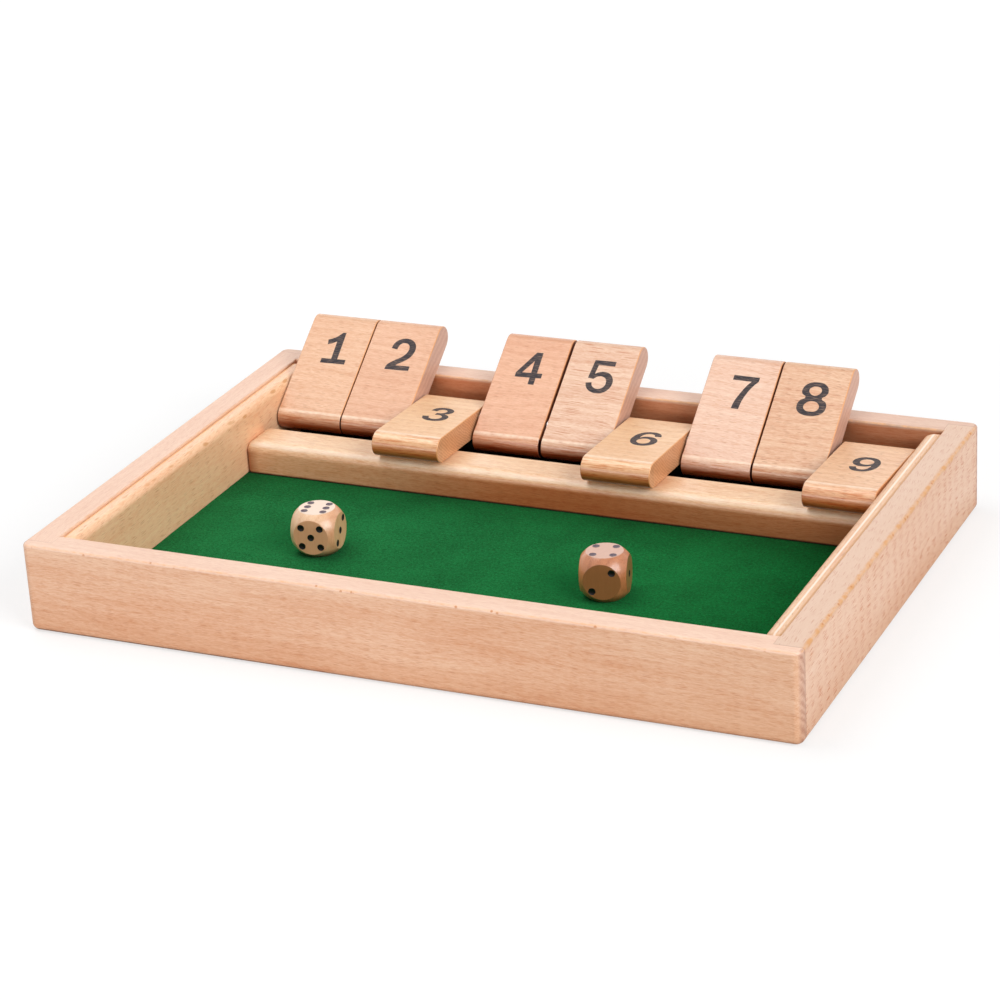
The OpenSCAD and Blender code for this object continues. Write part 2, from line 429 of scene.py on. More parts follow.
def small_knots(wood, at):
    """Brown spots along the outer top edge."""
    cells = add(wood.tree, "ShaderNodeTexVoronoi", {"Vector": at.own, "Scale": 0.3})
    spots = times(remap(cells.outputs["Distance"], 0.2, 0.1), at.top, remap(at.outer, 0.9, 0.5))
    wood.cover(times(spots, 0.8), "#c87a3e")


def foot_shade(wood, at):
    """Painted shade: the lower part is painted browner, and the rounded foot dark, most on the
    left.
    """
    wood.tint(remap(at.z, 14.0, 1.0), "#f2e6da")
    # Painted shade under the rounded foot.
    foot = times(remap(at.z, 1.3, 0.9), remap(at.outer, 1.2, 0.7))
    wood.tint(times(foot, remap(at.x, 0.0, -60.0, 0.3, 0.9)), "#6c4c3c")


def start_rail(name, shift, lean, turn=(0, 0, 0), tones=("#f4caab", "#da986e", "#bc6c42"),
               painted_top_sheen=("#fbe6da", 0.3), **amounts):
    """A rail's beech, with its top painted paler for a painted sheen. Gives the wood and its spots.
    """
    wood = Wood(name + "_wood", tones, shift, turn, lean, Fibre=0.45, Ring=0.1, **amounts)
    at = rail_spot(wood.own)
    colour, share = painted_top_sheen
    # Painted sheen: the top is laid over with a paler tone.
    wood.cover(times(at.top, share), colour)
    return wood, at


def finish_rail(name, wood, at):
    small_knots(wood, at)
    foot_shade(wood, at)
    wood.dress(name)


def front_rail():
    """Its face is painted a little greyer to the right, for shade."""
    wood, at = start_rail("front_rail", (13, 40, 7), (0, -0.6, 1.0), Streak=0.45, Flecks=0.35,
                          Fleck_Length=6.0, Fleck_Width=0.4)
    end_rail_joints(wood, at)
    # Painted shade on the faces below the top, growing to the right.
    wood.tint(times(remap(at.sunk, 0.7, 1.3), remap(at.x, 0.0, 110.0)), "#f5f4f1")
    sanded_edges(wood, at)
    finish_rail("front_rail", wood, at)


def back_rail():
    """Painted shade darkens its top and inner face to the right, and its inner face
    below the top. Its inner edge has scorched spots.
    """
    wood, at = start_rail("back_rail", (310, 90, 55), (0, 0.5, 0.5), Streak=0.45, Flecks=0.3,
                          Fleck_Length=6.0, Fleck_Width=0.4)
    end_rail_joints(wood, at)
    # Painted shade on the top and on the inner face, growing to the right.
    wood.tint(times(at.top, remap(at.x, 20.0, 110.0)), "#f0f0f2")
    wood.tint(times(at.inner_face, remap(at.x, -60.0, 110.0)), "#d6dee0")
    spots = noise(stretch(at.own, (0.12, 0.4, 0.4)), detail=3.0, rough=0.6)
    scorch = times(at.top, remap(at.inner, 2.6, 0.2), remap(spots, 0.46, 0.6))
    wood.cover(times(scorch, 0.55), "#c98a4e")
    # Painted shade on the inner face, below its top edge.
    wood.tint(times(at.inner_face, remap(at.sunk, 0.4, 1.6)), "#e4baa0")
    sanded_edges(wood, at)
    finish_rail("back_rail", wood, at)


def left_rail():
    wood, at = start_rail("left_rail", (55, 160, 31), (0, 2.0, 1.5), ALONG_Y, Streak=0.45,
                          Flecks=0.25, Fleck_Length=6.0, Fleck_Width=0.45)
    side_rail_joints(wood, at, 0.15)
    sanded_edges(wood, at)
    finish_rail("left_rail", wood, at)


def right_rail():
    """It has many fine flecks, a painted sheen and painted shade on its top, and its outer top edge
    is worn in long patches.
    """
    wood, at = start_rail("right_rail", (150, 220, 88), (0, 5.0, 2.5), ALONG_Y,
                          ("#f6d5bd", "#e0aa86", "#c86830"), ("#f2d2ba", 0.5), Streak=0.2,
                          Flecks=1.5, Fleck_Length=7.0, Fleck_Width=0.32)
    side_rail_joints(wood, at, 0.4)
    # Painted shade on the top.
    wood.tint(at.top, "#f1f0f0")
    sanded_edges(wood, at)
    patches = remap(noise(at.own, 0.22, 3.0, 0.6), 0.46, 0.6, 0.3, 0.85)
    wood.cover(times(remap(at.sunk, 1.6, 0.9), remap(at.outer, 1.6, 0.9), patches), "#dc9c5c")
    finish_rail("right_rail", wood, at)


front_rail()
back_rail()
left_rail()
right_rail()


# The strips: paler, with short brown flecks on their rounding.

STRIP_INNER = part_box("right_strip")[0].x / MM
STRIP_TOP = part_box("right_strip")[1].z / MM


def strip_wood(name, shift, flecks_share, lit):
    """Lit says that light from above greys its top and draws a pale line on it."""
    wood = Wood(name + "_wood", ("#ffd6ac", "#f2b286", "#c07850"), shift, ALONG_Y, (0, 4.0, 2.0),
                Streak=0.5, Fibre=0.4, Ring=0.1, Flecks=0.5, Fleck_Length=6.0, Fleck_Width=0.4)
    x, _, z = split(wood.own)
    inside = minus(away_from(x), STRIP_INNER)
    sunk = minus(STRIP_TOP, z)
    rounding = times(remap(sunk, 3.2, 1.6), remap(inside, 4.0, 2.6))
    cells = add(wood.tree, "ShaderNodeTexVoronoi", {
        "Vector": stretch(wood.own, (0.5, 0.17, 0.5)), "Scale": 1.0})
    luck = split(cells.outputs["Color"])[0]
    specks = times(remap(cells.outputs["Distance"], 0.46, 0.22, smooth=True),
                   remap(luck, 0.35, 0.75), rounding)
    wood.cover(times(specks, flecks_share), "#cc863e")
    edge = times(remap(sunk, 1.1, 0.6), remap(inside, 4.9, 5.3))
    wood.cover(times(edge, 0.8), "#e9a860")
    if lit:
        wood.tint(remap(sunk, 1.0, 0.2), "#eae4de")
        line = times(near(inside, 3.4, 0.2, 0.5), remap(sunk, 0.6, 0.2))
        wood.cover(times(line, 0.7), "#fff0e2")
    wood.set(Coat_Weight=0.3, Coat_Roughness=0.25)
    wood.dress(name)


strip_wood("left_strip", (20, 30, 60), 0.65, False)
strip_wood("right_strip", (240, 90, 10), 0.12, True)


# The bar that the tiles lie on: painted browner below its rounding, more about its
# middle and to the right, darker at its ends and darkest at its foot, all painted
# shade, and with a soft painted highlight along the rounding.

def bar_wood():
    wood = Wood("bar_wood", ("#f9d7b2", "#e2aa7c", "#ab6e40"), (70, 130, 20), lean=(0, 0.5, 0.5),
                Streak=0.6, Fibre=0.6, Ring=0.1, Flecks=0.3, Fleck_Length=6.5, Fleck_Width=0.45)
    x, y, z = split(wood.own)
    from_middle = away_from(x)
    # Painted shade below the rounding, more about the middle and to the right.
    low = remap(z, 18.6, 15.8)
    wood.tint(low, "#ffe9df")
    wood.tint(times(low, remap(from_middle, 60.0, 20.0)), "#ffe8d4")
    wood.tint(times(low, remap(x, -110.0, -10.0)), "#caa890")
    # A painted highlight along the rounding.
    patches = remap(noise(wood.own, 0.06, 3.0, 0.7), 0.35, 0.6, 0.15, 0.5)
    wood.cover(times(near(z, 18.9, 0.2, 0.9), remap(y, 36.5, 35.5), patches), "#ffe8d6")
    # Painted shade at the ends, and a painted shadow along the foot.
    wood.tint(times(low, remap(from_middle, 116.5, 121.0)), "#b48c6c")
    foot = bar_low.z / MM
    wood.tint(remap(z, foot + 0.6, foot + 0.1), "#70503a")
    wood.set(Coat_Weight=0.4, Coat_Roughness=0.22)
    wood.dress("rest_bar")


bar_wood()
Wood("plywood_face", ("#d9b98c", "#c39a68", "#8d6238"), (400, 10, 90), Streak=0.8, Fibre=0.5,
     Ring=0.1, Flecks=0.5).dress("base_board")


# The tiles: their noses are painted browner than their faces below the ridge, for
# shade, with a painted highlight on the ridge where the one passes into the other.
# Their sides are end grain, with painted shade where the next tile is close and
# painted bounce light on the right edge. A tile's own Y runs along it from the rod,
# and its own Z points out of the face that shows when it leans back.

# Where the flat faces pass into the noses, in millimetres from the rod.
NOSE_FROM = 33.35
HINGE_NOSE_FROM = -7.35
NOSE_R = TILE_T / 2 / MM
TILE_HALF_W = 13.05
TILE_TONES = {
    1: ("#ebc09d", "#d49870"), 2: ("#e9ba98", "#d29570"), 3: ("#f9d0a6", "#e4ac7a"),
    4: ("#e8b492", "#cf8e68"), 5: ("#eccbb0", "#cd916e"), 6: ("#f8cfa4", "#e4ac7c"),
    7: ("#ecc9b2", "#d6a080"), 8: ("#e5bd9b", "#cb8e68"), 9: ("#f5c9a1", "#dba075")}
TILE_FLECK = "#a8663f"
PALER_FLECK = "#c4825c"
TILE_GRAIN = {"Streak": 0.5, "Fibre": 0.6, "Ring": 0.2, "Flecks": 0.3, "Fleck_Length": 4.5,
              "Fleck_Width": 0.42}
OTHER_GRAIN = {
    5: {"Streak": 0.3, "Flecks": 1.0, "Fleck_Length": 14.0}, 8: {"Streak": 0.65, "Flecks": 0.55},
    9: {"Flecks": 0.55}}
GRAIN_TURNS = (-1.5, 2.0, 0.8)
LINE_SLANTS = (0.9, 2.2, 1.4)
LINE_PITCHES = (1.0, 1.5, 2.6)
# The tiles that have another one close on both sides get painted shade on both sides.
CLOSE_BOTH_SIDES = (1, 4, 7)


def tile_about(k):
    """A tile's middle on the rod, and its turn about it."""
    angle = LIE_ANGLE if k in LYING else LEAN_ANGLE
    return (middle_of(f"tile_{k}").x, rod.y, rod.z), (angle, 0, 0)


def tile_nose(k, wood, y, upward):
    """The tones of the nose that shows: painted shade below, darkest at the bottom, and a painted
    highlight on its ridge. Gives its mask.
    """
    lying = k in LYING
    end = minus(y, NOSE_FROM) if lying else minus(HINGE_NOSE_FROM, y)
    nose = remap(end, 0.1, 0.7)
    # Painted shade on the nose below the ridge, darkest at its bottom.
    under = remap(upward, 3.6, -1.0) if lying else remap(upward, 4.2, 1.5)
    wood.tint(times(nose, under), "#d2986a" if lying else "#ba7848")
    wood.tint(times(nose, remap(upward, -1.0, -4.0)), "#8e8652" if lying else "#988058")
    runs = noise(stretch(wood.own, (0.1, 1.7, 1.7), (4 * k, 3, 8)), detail=3.0, rough=0.6)
    wood.tint(times(nose, remap(runs, 0.5, 0.62)), "#e6c2a2")
    # A painted highlight along the ridge.
    ridge = times(remap(end, -0.35, 0.15), remap(end, 1.9, 0.5), remap(upward, 1.5, 3.0),
                  remap(wander(wood.own), 0.0, 1.0, 0.5, 1.0))
    wood.cover(times(ridge, 0.75), "#ffe6cc")
    return nose


def tile_sides(k, wood, x, nose):
    """End grain on the sides, with painted shade where the next tile is close, and browner on lying
    tiles, also painted shade.
    """
    lying = k in LYING
    side = remap(away_from(x), TILE_HALF_W - 0.16, TILE_HALF_W - 0.04)
    # Lying tiles' sides take browner tones: painted shade.
    pale, deep = ("#eab282", "#bd744a") if lying else ("#e8c0aa", "#c18a74")
    grain = use(wood.tree, END_GRAIN, Place=wood.own, Pale=paint(pale), Deep=paint(deep),
                Slant=LINE_SLANTS[k % 3], Pitch=LINE_PITCHES[k % 3],
                Contrast=0.75 if lying else 0.5)
    wood.cover(side, grain["Color"])
    # Painted shade where the next tile is close, darker still on a raised tile's nose.
    close = side if k in CLOSE_BOTH_SIDES else times(side, remap(x, -1.0, -2.0))
    wood.tint(close, "#a87c60")
    if not lying:
        wood.tint(times(close, nose), "#7c5c48")


def tile_edge(k, wood, x, y, z, nose):
    """The right side's edge is painted warmer, for bounced light. Leaning, it fades on the nose."""
    beyond = larger(larger(minus(y, NOSE_FROM), minus(HINGE_NOSE_FROM, y)), 0.0)
    from_core = calc("SQRT", plus(calc("POWER", beyond, 2.0), calc("POWER", away_from(z), 2.0)))
    edge = times(remap(x, TILE_HALF_W - 0.5, TILE_HALF_W - 0.3),
                 remap(from_core, NOSE_R - 0.45, NOSE_R - 0.2))
    if k not in LYING:
        edge = times(edge, remap(nose, 1.0, 0.0))
    # Painted bounce light along the right edge.
    wood.cover(times(edge, 0.6), "#e9a468")


def tile_wood(k):
    tones = (*TILE_TONES[k], PALER_FLECK if k == 5 else TILE_FLECK)
    wood = Wood(f"tile_{k}_wood", tones, (37 * k, 61 * k, 23 * k), (0, 0, GRAIN_TURNS[k % 3]),
                about=tile_about(k), **{**TILE_GRAIN, **OTHER_GRAIN.get(k, {})})
    x, y, z = split(wood.own)
    nose = tile_nose(k, wood, y, times(z, -1.0) if k in LYING else z)
    tile_sides(k, wood, x, nose)
    tile_edge(k, wood, x, y, z, nose)
    wood.set(Coat_Weight=remap(nose, 0.0, 1.0, 0.1, 0.5), Coat_Roughness=0.2)
    wood.dress(f"tile_{k}")


for k in TILE_TONES:
    tile_wood(k)


# Printed numbers: on the face that shows when a tile leans back, and on the
# one that shows when it lies flat.

INK_T = 0.04 * MM
# The ink's middle lies above the wood by this share of its thickness.
INK_LIFT = 0.25


# The numbers' outlines in millimetres about their own middles, 14 high, drawn one
# by one. A third value of 0 marks a corner, and the rest run smoothly.
SIX = (
    ((4.7, 3.3, 0), (3.9, 5.4), (2.4, 6.7), (0.3, 7.1), (-2.4, 6.3), (-4.3, 3.7), (-5.0, 0.0),
     (-4.5, -3.6), (-2.7, -6.2), (0.2, -7.1), (2.7, -6.5), (4.5, -4.6), (5.0, -2.3), (4.5, -0.2),
     (2.9, 1.6), (0.7, 2.2), (-1.2, 1.7), (-2.5, 0.5, 0), (-2.4, 2.0), (-1.9, 3.9), (-0.9, 5.0),
     (0.3, 5.2), (1.6, 4.6), (2.3, 3.0, 0)),
    ((0.2, 0.2), (1.8, -0.5), (2.5, -2.3), (1.9, -4.3), (0.2, -5.1), (-1.6, -4.3), (-2.4, -2.4),
     (-1.6, -0.5)))
OUTLINES = {
    1: (((0.2, 7.0, 0), (1.45, 7.0, 0), (1.5, -5.0, 0), (5.0, -5.0, 0), (5.0, -7.0, 0),
         (-5.0, -7.0, 0), (-5.0, -5.0, 0), (-1.0, -5.0, 0), (-1.1, 2.9, 0), (-2.8, 1.95),
         (-4.5, 1.3, 0), (-4.9, 3.4, 0), (-2.0, 4.8)),),
    2: (((-4.8, 2.5, 0), (-4.3, 4.6), (-2.6, 6.4), (0.0, 7.1), (2.6, 6.5), (4.4, 4.7), (4.9, 2.6),
         (4.6, 0.6), (3.6, -1.3), (1.7, -3.0), (-0.4, -4.4), (-1.0, -5.0, 0), (4.9, -5.0, 0),
         (4.9, -7.0, 0), (-4.8, -7.0, 0), (-4.7, -5.6), (-4.1, -4.6), (-2.1, -2.9), (0.8, -0.8),
         (2.0, 0.9), (2.35, 2.6), (1.7, 4.4), (0.0, 5.1), (-1.7, 4.4), (-2.5, 2.0, 0)),),
    3: (((-4.4, 3.3, 0), (-3.7, 5.5), (-2.1, 6.8), (0.0, 7.1), (2.3, 6.6), (3.9, 5.1), (4.3, 3.5),
         (3.7, 1.8), (2.2, 0.6, 0), (4.2, -0.8), (4.9, -3.0), (4.3, -5.2), (2.5, -6.7), (0.0, -7.1),
         (-2.6, -6.5), (-4.3, -5.0), (-5.0, -3.0, 0), (-2.6, -2.6, 0), (-2.1, -4.1), (-1.1, -4.9),
         (0.1, -5.1), (1.6, -4.6), (2.4, -3.0), (1.8, -1.3), (0.4, -0.6), (-1.2, -0.7, 0),
         (-1.2, 1.2, 0), (0.2, 1.3), (1.3, 2.0), (1.8, 3.4), (1.4, 4.6), (0.1, 5.2), (-1.3, 4.7),
         (-2.1, 3.0, 0)),),
    4: (((0.6, 7.0, 0), (3.1, 7.0, 0), (3.1, -2.0, 0), (5.2, -2.0, 0), (5.2, -4.05, 0),
         (3.1, -4.05, 0), (3.1, -7.0, 0), (0.75, -7.0, 0), (0.75, -4.05, 0), (-5.2, -4.05, 0),
         (-5.2, -2.2, 0)), ((0.75, 3.3, 0), (0.75, -2.0, 0), (-2.8, -2.0, 0))),
    5: (((-4.1, 7.0, 0), (4.1, 7.0, 0), (4.1, 5.0, 0), (-2.2, 5.0, 0), (-2.7, 1.1, 0), (-0.9, 2.05),
         (1.0, 2.3), (3.3, 1.5), (4.8, -0.5), (5.1, -2.4), (4.6, -4.4), (3.0, -6.3), (0.3, -7.1),
         (-2.3, -6.6), (-4.3, -5.0), (-5.1, -3.0, 0), (-2.9, -2.6, 0), (-2.3, -4.1), (-1.1, -5.0),
         (0.2, -5.2), (1.7, -4.6), (2.5, -3.5), (2.6, -2.3), (2.2, -0.9), (1.2, 0.0), (0.0, 0.3),
         (-1.5, -0.1), (-2.6, -1.1, 0), (-4.8, -0.8, 0)),),
    6: SIX,
    7: (((-4.85, 7.0, 0), (4.85, 7.0, 0), (4.85, 5.3, 0), (3.4, 3.2), (1.9, 0.0), (0.95, -3.4),
         (0.55, -7.0, 0), (-2.2, -7.0, 0), (-1.8, -4.0), (-0.5, -0.2), (0.9, 2.9), (2.3, 5.0, 0),
         (-4.85, 5.0, 0)),),
    8: (((0.0, 7.1), (3.3, 6.2), (4.7, 3.7), (4.3, 1.9), (3.0, 0.5), (4.8, -1.1), (5.4, -3.2),
         (4.6, -5.5), (2.7, -6.7), (0.0, -7.1), (-2.8, -6.7), (-4.7, -5.4), (-5.4, -3.3),
         (-4.8, -1.1), (-3.1, 0.5), (-4.6, 1.9), (-4.9, 3.7), (-3.5, 6.1)),
        ((0.0, 5.3), (1.6, 4.8), (2.2, 3.6), (1.6, 2.2), (0.0, 1.4), (-1.7, 2.2), (-2.4, 3.6),
         (-1.7, 4.8)),
        ((-0.1, -0.9), (1.9, -1.6), (2.85, -3.2), (2.1, -4.8), (0.0, -5.3), (-2.1, -4.8),
         (-2.9, -3.3), (-2.0, -1.6))),
    9: tuple(tuple((-p[0], -p[1]) + p[2:] for p in outline) for outline in SIX)}


def printed_number(k):
    """The number's flat shape about its own middle, as a thin mesh."""
    drawing = bpy.data.curves.new("drawing", "CURVE")
    drawing.dimensions = "2D"
    drawing.fill_mode = "BOTH"
    drawing.extrude = INK_T / 2
    drawing.resolution_u = 8
    for outline in OUTLINES[k]:
        line = drawing.splines.new("BEZIER")
        line.bezier_points.add(len(outline) - 1)
        line.use_cyclic_u = True
        for bend, point in zip(line.bezier_points, outline):
            bend.co = (point[0] * MM, point[1] * MM, 0)
            kind = "VECTOR" if len(point) == 3 else "AUTO"
            bend.handle_left_type = kind
            bend.handle_right_type = kind
    lone(placed("number", drawing))
    bpy.ops.object.convert(target="MESH")
    return bpy.context.object


def number_ink():
    """Black print, worn thin along the fibres."""
    ink = Finish("number_ink")
    fibres = noise(stretch(ink.own, (0.3, 5, 5)), detail=3.0, rough=0.6)
    ink.tone = blend(remap(fibres, 0.5, 0.74), paint("#2c272c"), paint("#94796a"))
    ink.set(Roughness=0.6, Specular_IOR_Level=0.3)
    return ink.dress()


# Where each number stands on the face that the photo shows, in millimetres
# across the tile and outwards from the rod, and how far its print is turned.
NUMBER_AT = {
    1: (1.2, 21.5, 1.2), 2: (1.4, 21.7, 1.2), 3: (1.2, 10.9, 0.0), 4: (0.3, 21.7, 1.5),
    5: (1.2, 21.2, 0.5), 6: (1.3, 11.5, 0.0), 7: (1.55, 21.0, -0.8), 8: (1.5, 21.5, 0.3),
    9: (1.2, 11.9, 0.0)}
HIDDEN_NUMBER_AT = {"raised": (1.2, 21.4, 0.0), "lying": (1.2, 11.2, 0.0)}


def number_piece(k, face, ink):
    """A number on the face that shows when its tile is raised or lying."""
    lying = face == "lying"
    shown = lying == (k in LYING)
    across, out, turn = NUMBER_AT[k] if shown else HIDDEN_NUMBER_AT[face]
    centre, (angle, _, _) = tile_about(k)
    tile = Matrix.Translation(centre) @ turned(angle, "X")
    over = turned(180 if lying else 0, "X")
    place = Matrix.Translation((
        across * MM, -out * MM if lying else out * MM, TILE_T / 2 + INK_LIFT * INK_T))
    number = printed_number(k)
    number.name = f"number_{k}_{face}"
    number.data.transform(tile @ over @ place @ turned(turn, "Z"))
    finish_with(number, ink)
    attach(number, f"tile_{k}")


number_finish = number_ink()
for k in TILE_TONES:
    number_piece(k, "raised", number_finish)
    number_piece(k, "lying", number_finish)


# The dice. Paint lines the hollows of their pips.

PIP_R = 1.2 * MM
PIP_DEEP = 0.35 * MM
PIP_PITCH = 3.4 * MM
PIP_BALL_R = (PIP_R ** 2 + PIP_DEEP ** 2) / (2 * PIP_DEEP)
# The paint's thickness, its shift outwards, and how far it rises past the face.
PIP_COAT = 0.05 * MM
PIP_COAT_OUT = 0.6
PIP_BRIM = 0.01 * MM
die_low, die_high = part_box("die_1")
DIE_S = die_high.z - die_low.z

# How far each die is turned, and its pips on top, in front and on the right.
DICE = {1: (7.3, (6, 5, 3)), 2: (12.8, (4, 2, 1))}


def pip_spots(n):
    """The places of n pips, in steps from the middle of a face."""
    spots = [(0, 0)] if n % 2 else []
    spots += [(1, 1), (-1, -1)] if n > 1 else []
    spots += [(1, -1), (-1, 1)] if n > 3 else []
    return spots + ([(1, 0), (-1, 0)] if n > 5 else [])


def pip_paint():
    """One pip's coat of paint, in a hollow of the plane Z = 0."""
    lift = PIP_BALL_R - PIP_DEEP
    bpy.ops.object.select_all(action="DESELECT")
    bpy.ops.mesh.primitive_uv_sphere_add(segments=24, ring_count=48, radius=PIP_BALL_R)
    made = bpy.context.object
    made.data.transform(Matrix.Translation((0, 0, lift)))
    bpy.ops.object.mode_set(mode="EDIT")
    bpy.ops.mesh.select_all(action="SELECT")
    bpy.ops.mesh.bisect(plane_co=(0, 0, PIP_BRIM), plane_no=(0, 0, 1), clear_outer=True)
    bpy.ops.mesh.select_all(action="SELECT")
    bpy.ops.mesh.flip_normals()
    bpy.ops.object.mode_set(mode="OBJECT")
    coat = made.modifiers.new("coat", "SOLIDIFY")
    coat.thickness = PIP_COAT
    coat.offset = PIP_COAT_OUT
    bpy.ops.object.modifier_apply(modifier=coat.name)
    bpy.ops.object.shade_smooth_by_angle(angle=math.radians(40))
    return made


# Each face's turn from the top, which of the three shown counts it goes by, and
# whether it is opposite to that one.
FACES = (
    (Matrix.Identity(4), 0, False), (turned(180, "X"), 0, True),
    (turned(90, "X"), 1, False), (turned(-90, "X"), 1, True),
    (turned(90, "Z") @ turned(90, "X"), 2, False), (turned(-90, "Z") @ turned(90, "X"), 2, True))


def pip_black():
    """Black paint, greyer on the tops of the dice, where light falls on it."""
    black = Finish("pip_black")
    black.tone = blend(noise(black.own, 1.5), paint("#0a090a"), paint("#141114"))
    top = die_high.z / MM
    black.cover(remap(split(black.own)[2], top - 0.9, top - 0.6), "#64545c")
    black.set(Roughness=0.35, Specular_IOR_Level=0.35)
    return black.dress()


def die_pips(d, black):
    turn, shown = DICE[d]
    centre = Matrix.Translation(middle_of(f"die_{d}")) @ turned(turn, "Z")
    coat = pip_paint()
    pips = []
    for face, which, opposite in FACES:
        count = 7 - shown[which] if opposite else shown[which]
        for i, j in pip_spots(count):
            pip = placed("pip", coat.data.copy())
            pip.data.transform(centre @ face @ Matrix.Translation(
                (i * PIP_PITCH, j * PIP_PITCH, DIE_S / 2)))
            pips.append(pip)
    bpy.data.objects.remove(coat)
    bpy.ops.object.select_all(action="DESELECT")
    for pip in pips:
        pip.select_set(True)
    bpy.context.view_layer.objects.active = pips[0]
    bpy.ops.object.join()
    joined = bpy.context.object
    joined.name = f"die_{d}_pips"
    finish_with(joined, black)
    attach(joined, f"die_{d}")


# The dice's wood: each flat face is a disc with its own tone. The rounding between
# them has painted light on the left, a little painted shade on the right and a
# painted shadow on its lower part.
DIE_TONES = {
    1: {"wood": ("#fad2aa", "#e6b086", "#e6b086"), "side_discs": "#f8e8dc", "front": "#eeae86",
        "top": "#e8cdb6", "left": "#ffdcba", "right": "#f0dace", "low": "#5c4830"},
    2: {"wood": ("#cc8458", "#aa6238", "#aa6238"), "side_discs": "#e0c8c1", "front": "#a16a3f",
        "top": "#c79378", "left": "#f29a62", "right": "#fffcf8", "low": "#b8a080"}}
DISC_FROM = DIE_S / 2 / MM - 0.09
DISC_FULL = DIE_S / 2 / MM - 0.03


def die_wood(d):
    turn, _ = DICE[d]
    tones = DIE_TONES[d]
    about = (middle_of(f"die_{d}"), (0, 0, turn))
    wood = Wood(f"die_{d}_wood", tones["wood"], (5 * d, 9, 4), (0, 88, 0), about=about,
                Streak=0.5, Fibre=0.4, Ring=0.25, Flecks=0.2, Fleck_Length=2.0)
    x, y, z = split(wood.own)
    side_discs = remap(larger(away_from(x), away_from(y)), DISC_FROM, DISC_FULL)
    top_disc = remap(z, DISC_FROM, DISC_FULL)
    wood.tint(side_discs, tones["side_discs"])
    wood.cover(times(remap(y, -DISC_FROM, -DISC_FULL), 0.75), tones["front"])
    wood.cover(times(top_disc, 0.8), tones["top"])
    rounding = minus(1.0, larger(side_discs, top_disc))
    # Painted shade on the right of the rounding, painted light on its left, and a painted shadow on
    # its lower part.
    wood.tint(times(rounding, remap(x, 2.0, 6.5)), tones["right"])
    wood.cover(times(rounding, remap(x, -4.0, -7.5, 0.0, 0.7)), tones["left"])
    wood.tint(times(rounding, remap(z, -4.6, -7.6)), tones["low"])
    wood.set(Coat_Weight=0.8, Coat_Roughness=0.2)
    wood.dress(f"die_{d}")


pip_finish = pip_black()
for d in DICE:
    die_pips(d, pip_finish)
    die_wood(d)


# The corners of the tray and the ends of the strips and the bar are sanded
# round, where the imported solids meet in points. Rounder pieces stand for them.

CORNER_R = 3.0 * MM
FOOT_R = 2.5 * MM
TOP_R = 1.1 * MM
BAR_FRONT_R = 4.3 * MM
BAR_BACK_R = 0.5 * MM
BAR_END_R = 3.6 * MM
BAR_SIDE_R = 1.8 * MM
# The flush edges beside the joints: as deep as the easing that they fill, and
# as long as the rebate.
FLUSH_DEEP = 1.2 * MM
FLUSH_LONG = 6.0 * MM
STRIP_CORNER_R = 4.0 * MM
STRIP_RIM_R = 2.6 * MM
# A box that cuts a solid stands off it by a hair, and two places closer than a
# nudge are one.
HAIR = 0.01 * MM
NUDGE = 1.0 * MM


def new_box(name, low, high):
    """A box between two corners, with its place in its mesh."""
    bpy.ops.object.select_all(action="DESELECT")
    bpy.ops.mesh.primitive_cube_add(size=1.0)
    made = bpy.context.object
    made.name = name
    made.data.transform(
        Matrix.Translation((low + high) / 2) @ Matrix.Diagonal((*(high - low), 1)))
    return made


def loose_box(name, low, high):
    """A box that is larger than its corners by a hair on every side."""
    hair = Vector((HAIR, HAIR, HAIR))
    return new_box(name, low - hair, high + hair)


def shape(made, kind, **settings):
    """Adds one modifier and applies it."""
    modifier = made.modifiers.new("shape", kind)
    for key, value in settings.items():
        setattr(modifier, key, value)
    lone(made)
    bpy.ops.object.modifier_apply(modifier=modifier.name)


def ease(made, radius_of):
    """Rounds each edge to the radius that radius_of gives for its two ends."""
    mesh = made.data
    radii = [radius_of(*(mesh.vertices[v].co.copy() for v in edge.vertices))
             for edge in mesh.edges]
    marks = mesh.attributes.get("bevel_weight_edge") or mesh.attributes.new(
        "bevel_weight_edge", "FLOAT", "EDGE")
    for mark, radius in zip(marks.data, radii):
        mark.value = radius / max(radii)
    shape(made, "BEVEL", width=max(radii), segments=12, limit_method="WEIGHT",
          use_clamp_overlap=False)


def cad_copy(node):
    """A copy of a node's mesh in a piece of its own, merged and without its normals."""
    made = placed(node + "_wood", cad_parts[node].data.copy())
    lone(made)
    bpy.ops.mesh.customdata_custom_splitnormals_clear()
    bpy.ops.object.mode_set(mode="EDIT")
    bpy.ops.mesh.select_all(action="SELECT")
    bpy.ops.mesh.remove_doubles(threshold=0.001 * MM)
    bpy.ops.object.mode_set(mode="OBJECT")
    return made


def combine(made, other, operation):
    shape(made, "BOOLEAN", operation=operation, object=other, solver="EXACT")


def stand_for(made, node):
    """Gives a piece the node's material and the tray's body, shades its rounded edges smooth, and
    hides the node.
    """
    lone(made)
    bpy.ops.object.shade_smooth_by_angle(angle=math.radians(30))
    shape(made, "WEIGHTED_NORMAL", keep_sharp=True)
    finish_with(made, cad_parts[node].data.materials[0])
    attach(made, "tray")
    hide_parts(node)


def is_upright(a, b):
    return abs(a.z - b.z) > NUDGE


def upright_radius(a, b):
    return CORNER_R if is_upright(a, b) else 0.0


def rim_radius(a, b):
    if is_upright(a, b):
        return 0.0
    return TOP_R if a.z > tray_high.z / 2 else FOOT_R


